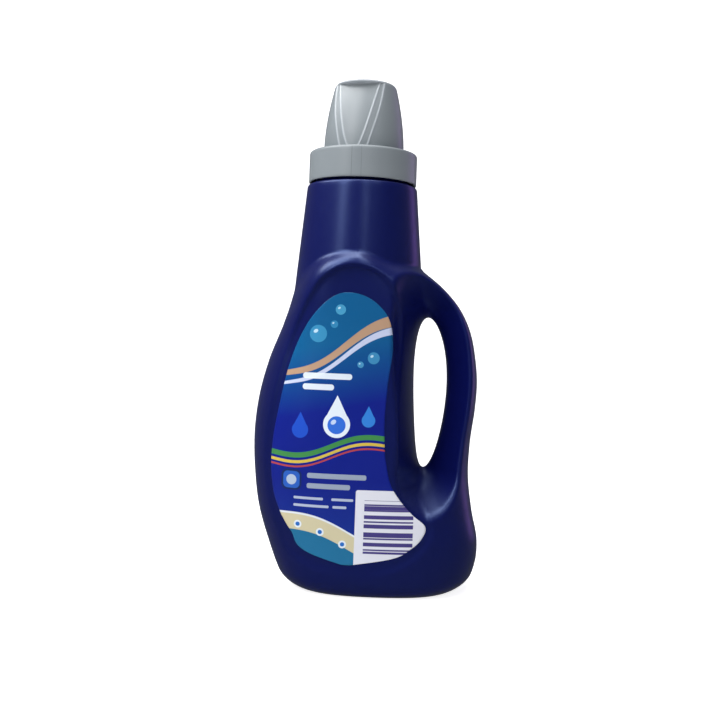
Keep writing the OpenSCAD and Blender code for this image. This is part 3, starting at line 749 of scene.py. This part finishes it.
# the print's fields, each as x, z, its sizes and a colour
artwork = dict(
    base=(0.003, 0.094, 0.245), middle=(0.003, 0.010, 0.215), foot=(0.006, 0.035, 0.28), spec=0.35,
    tint=(0.6, 0.75, 1.0), coat=0.08, glint=(0.55, 0.75, 0.85),
    ribbons=((3.4, 2.4, 0.03, (0.43, 0.27, 0.17)), (-1.6, 1.5, 0.02, (0.50, 0.55, 0.72))),
    bubbles=((-19.5, 134, 4.4, (0.05, 0.30, 0.52)), (-8.5, 146.5, 2.6, (0.08, 0.38, 0.60)),
             (-11.5, 139, 1.9, (0.04, 0.26, 0.48)), (9, 122.5, 3.0, (0.06, 0.30, 0.52)),
             (2.5, 119, 1.6, (0.08, 0.34, 0.56))),
    bars=((-14, 112.6, 25, 3.0), (-18.5, 107.0, 16, 3.0)), bar=(0.72, 0.78, 0.84),
    swells=((79.0, 2.6, (0.05, 0.24, 0.06)), (75.6, 1.5, (0.62, 0.45, 0.06)), (73.2, 0.9, (0.42, 0.05, 0.05))),
    drops=((-27, 85.0, 4.2, (0.012, 0.07, 0.50)), (-8.5, 88.5, 6.8, (0.70, 0.77, 0.84)),
           (7.5, 91, 3.4, (0.03, 0.20, 0.62))),
    heart=(-8.5, 88.1, 4.6, 4.5), heartInk=(0.03, 0.14, 0.62),
    shine=(-10.1, 89.6, 1.5, 1.1, 40), shineInk=(0.60, 0.72, 0.86),
    mark=(-30.5, 59.5), rings=((10.5, 3.0, (0.008, 0.02, 0.10)), (8.6, 2.4, (0.02, 0.10, 0.46))), dot=2.6,
    dotInk=(0.40, 0.48, 0.60), bandX=-22.5, bands=((62.2, 30), (57.0, 22)), band=(0.34, 0.40, 0.47),
    slim=((-21.5, 50.6, 15), (-20.0, 46.8, 18), (-4.2, 50.6, 11), (-5.5, 46.8, 7)), slimInk=(0.55, 0.62, 0.72),
    cream=(0.60, 0.54, 0.34), edge=(0.70, 0.74, 0.78), teal=(0.012, 0.15, 0.30),
    beads=((-26.5, 37.0), (-15, 33.8), (-3.5, 28.2)), pearls=((2.0, (0.70, 0.76, 0.80)), (1.1, (0.02, 0.14, 0.50))),
    block=(21.5, 36.5, 38, 39, 1.2), blockInk=(0.70, 0.71, 0.77),
    stripes=(19.5, 37.5, 25, 27, 0.2), stripe=4.6, stripeInk=(0.06, 0.045, 0.20))


def labelLook(*objs):
    k = Look("printedFilm", artwork["base"], coat=artwork["coat"], spec=artwork["spec"], tint=artwork["tint"])
    k.paint(((-k.z + 132) / 34 + k.x * 0.006).max(0.0).min(1.0), artwork["middle"])
    k.paint(((-k.z + 60) / 50).max(0.0).min(0.7), artwork["foot"])
    # two ribbons that rise to the right
    course = k.z - 127.5 - k.x * 0.52 - (k.x * 0.115 + 0.6).wave() * 2.8
    for off, w, taper, c in artwork["ribbons"]:
        k.paint(((course - off).within(w) + k.x * taper).fill(0.25), c)
    for cx, cz, r, c in artwork["bubbles"]:
        k.paint(disc(k, cx, cz, r).fill() * 0.7, c)
        k.paint(ellipse(k, cx - r * 0.3, cz + r * 0.3, r * 0.28, r * 0.2, 30).fill() * 0.8, artwork["glint"])
    for cx, cz, w, h in artwork["bars"]:
        k.paint(plate(k, cx, cz, w, h, 1.4).fill() * 0.92, artwork["bar"])
    # green, yellow and red swells, and three drops over them
    swell = (k.x * 0.11 + 1.2).wave() * 2.6 + k.x * 0.16
    for z0, w, c in artwork["swells"]:
        k.paint((k.z - z0 - swell).within(w / 2).fill(0.2), c)
    for cx, cz, r, c in artwork["drops"]:
        tip = (-(k.x - cx).abs() + (-k.z + cz + r * 2.15) * 0.5).min(k.z - cz - r * 0.4).fill()
        k.paint(disc(k, cx, cz, r).fill().max(tip), c)
    k.paint(ellipse(k, *artwork["heart"]).fill(), artwork["heartInk"])
    k.paint(ellipse(k, *artwork["shine"]).fill() * 0.8, artwork["shineInk"])
    # a rounded mark and slim bands
    for size, corner, c in artwork["rings"]:
        k.paint(plate(k, *artwork["mark"], size, size, corner).fill(), c)
    k.paint(disc(k, *artwork["mark"], artwork["dot"]).fill(), artwork["dotInk"])
    for cz, w in artwork["bands"]:
        k.paint(plate(k, artwork["bandX"] + w / 2, cz, w, 2.6, 1.0).fill() * 0.85, artwork["band"])
    for cx, cz, w in artwork["slim"]:
        k.paint(plate(k, cx, cz, w, 1.3, 0.5).fill() * 0.75, artwork["slimInk"])
    # cream and teal swells at the foot, with a pale line and three beads
    foot = k.z - 36.0 - (k.x * 0.085 + 3.1).wave() * 3.4 + (k.x + 10) * 0.24
    k.paint((-foot).fill(0.2), artwork["cream"])
    k.paint(foot.within(0.5).fill(0.2), artwork["edge"])
    k.paint((-foot - 8.5).fill(0.2), artwork["teal"])
    for cx, cz in artwork["beads"]:
        for r, c in artwork["pearls"]:
            k.paint(disc(k, cx, cz, r).fill(), c)
    # a pale block with bars of uneven widths
    k.paint(plate(k, *artwork["block"]).fill(), artwork["blockInk"])
    inner = plate(k, *artwork["stripes"]).fill()
    phase = k.z * (2 * math.pi / artwork["stripe"])
    bars = (phase.wave() - 0.25).fill(0.25).max(((phase * 1.62 + 0.7).wave() - 0.62).fill(0.25))
    k.paint(inner * bars, artwork["stripeInk"])
    k.rough = k.noise(180, 2) * 0.08 + 0.28
    k.height = k.noise(120, 3) * 0.6 + k.noise(1500, 1) * 0.05
    k.done(*objs, bump=0.12, depth=0.0002)


def areaLight(name, place, target, size, power, colour=(1, 1, 1)):
    data = bpy.data.lights.new(name, "AREA")
    data.shape, data.size, data.size_y = "RECTANGLE", size[0], size[1]
    data.energy, data.color = power, colour
    obj = bpy.data.objects.new(name, data)
    obj.location = place
    obj.rotation_euler = (Vector(target) - Vector(place)).to_track_quat("-Z", "Y").to_euler()
    bpy.context.scene.collection.objects.link(obj)


# in metres, as the lights are; the floor runs up into the wall in a quarter circle
stage = dict(half=2.4, front=-1.6, bend=0.5, bendY=0.9, top=2.6, steps=24, paint=(0.7, 0.7, 0.71), glow=0.86)


def makeStage():
    r, w = stage["bend"], stage["half"]
    bend = [(stage["bendY"] + r * math.sin(math.radians(a)), r - r * math.cos(math.radians(a)))
            for a in np.linspace(0, 90, stage["steps"])]
    curve = [(stage["front"], 0.0)] + bend + [(stage["bendY"] + r, stage["top"])]
    verts = [(x, y, z) for y, z in curve for x in (-w, w)]
    faces = [[2 * k, 2 * k + 1, 2 * k + 3, 2 * k + 2] for k in range(len(curve) - 1)]
    mesh = bpy.data.meshes.new("backdrop")
    mesh.from_pydata(verts, [], faces)
    mesh.shade_smooth()
    obj = bpy.data.objects.new("backdrop", mesh)
    obj.visible_glossy = False
    bpy.context.scene.collection.objects.link(obj)
    mat = bpy.data.materials.new("paleBackdrop")
    mat.use_nodes = True
    t = mat.node_tree
    shader = t.nodes["Principled BSDF"]
    shader.inputs["Base Color"].default_value = (*stage["paint"], 1)
    shader.inputs["Roughness"].default_value = 0.9
    path = t.nodes.new("ShaderNodeLightPath")
    glow, blank = t.nodes.new("ShaderNodeEmission"), t.nodes.new("ShaderNodeEmission")
    glow.inputs["Color"].default_value = (1, 1, 1, 1)
    glow.inputs["Strength"].default_value = stage["glow"]
    blank.inputs["Strength"].default_value = 0
    add, off = t.nodes.new("ShaderNodeAddShader"), t.nodes.new("ShaderNodeMixShader")
    t.links.new(path.outputs["Is Camera Ray"], off.inputs[0])
    t.links.new(blank.outputs[0], off.inputs[1])
    t.links.new(glow.outputs[0], off.inputs[2])
    t.links.new(shader.outputs[0], add.inputs[0])
    t.links.new(off.outputs[0], add.inputs[1])
    t.links.new(add.outputs[0], t.nodes["Material Output"].inputs[0])
    mesh.materials.append(mat)


world = dict(sky=(0.80, 0.84, 0.92), strength=0.16)


def makeWorld():
    studio = bpy.data.worlds.new("studio")
    bpy.context.scene.world = studio
    studio.use_nodes = True
    t = studio.node_tree
    back = t.nodes["Background"]
    back.inputs["Color"].default_value = (*world["sky"], 1)
    back.inputs["Strength"].default_value = world["strength"]
    white = t.nodes.new("ShaderNodeBackground")
    white.inputs["Color"].default_value = (1, 1, 1, 1)
    mix, path = t.nodes.new("ShaderNodeMixShader"), t.nodes.new("ShaderNodeLightPath")
    t.links.new(path.outputs["Is Camera Ray"], mix.inputs[0])
    t.links.new(back.outputs[0], mix.inputs[1])
    t.links.new(white.outputs[0], mix.inputs[2])
    t.links.new(mix.outputs[0], t.nodes["World Output"].inputs[0])


# away, side and up place the camera in millimetres; roll is in degrees
camera = dict(sensor=36, lens=49.45, shift=-0.025, roll=2.13, side=1.77, away=535, up=130.46)


def makeCamera():
    data = bpy.data.cameras.new("camera")
    data.sensor_width, data.lens = camera["sensor"], camera["lens"]
    data.shift_y = camera["shift"]
    data.clip_start, data.clip_end = 0.02, 20
    obj = bpy.data.objects.new("camera", data)
    place = ((neckX + camera["side"]) / 1000, -camera["away"] / 1000, camera["up"] / 1000)
    obj.matrix_world = (Matrix.Translation(place) @ Matrix.Rotation(math.radians(90), 4, "X")
                        @ Matrix.Rotation(math.radians(camera["roll"]), 4, "Z"))
    bpy.context.scene.collection.objects.link(obj)
    bpy.context.scene.camera = obj


bottle = makeBottle()
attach(bottle, "bottle_body")
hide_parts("bottle")
print("bottle", len(bottle.data.polygons))
label = makeLabel()
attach(label, "bottle_body")
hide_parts("front_label")
print("label", len(label.data.polygons))
cap = makeCap()
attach(cap, "closure")
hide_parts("cap")
print("cap", len(cap.data.polygons))
neckRibs = [helix("neckRib%d" % k, thread["neckRoot"], thread["neckCrest"], thread["z"], 180 * k)
            for k in range(thread["starts"])]
capRibs = [helix("capRib%d" % k, thread["capRoot"], thread["capCrest"], thread["z"] + thread["capLift"],
                 180 * k + thread["capTurn"]) for k in range(thread["starts"])]
for rib in neckRibs:
    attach(rib, "bottle_body")
for rib in capRibs:
    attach(rib, "closure")
print("threads")
for node in ("spout_fitment", "seal_ring"):
    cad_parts[node].data.shade_smooth()
bottleLook(bottle, *neckRibs)
capLook(cap, *capRibs)
paleLook(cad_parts["spout_fitment"])
foamLook(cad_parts["seal_ring"])
labelLook(label)
print("looks")
makeStage()
makeWorld()
makeCamera()
areaLight("keyLight", (-0.62, -0.64, 0.98), (0, 0, 0.14), (0.5, 0.8), 4.0)
areaLight("leftCeiling", (-0.50, -0.62, 0.78), (0, 0, 0.17), (0.2, 0.95), 2.7)
areaLight("leftCanopy", (-0.34, -0.12, 1.1), (0, 0, 0.17), (0.42, 0.85), 7)
areaLight("rightCeiling", (0.10, -0.78, 0.85), (0, 0, 0.17), (0.1, 0.95), 1.7)
areaLight("rightCanopy", (0.1, -0.16, 1.1), (0, 0, 0.17), (0.16, 0.85), 2.6)
areaLight("topLight", (0.0, 0.1, 1.2), (0, 0, 0.1), (0.9, 0.9), 2.6)
areaLight("leftEdgeLight", (-0.86, -0.06, 0.96), (0, 0, 0.18), (0.6, 0.44), 6.0)
areaLight("rightEdgeLight", (0.5, -0.85, 0.88), (0, 0, 0.24), (0.1, 0.3), 0.6)
areaLight("rightLight", (0.85, 0.62, 0.35), (0, 0, 0.15), (0.3, 0.8), 0.9, (0.62, 0.28, 1.0))
bpy.context.scene.view_settings.view_transform = "Standard"
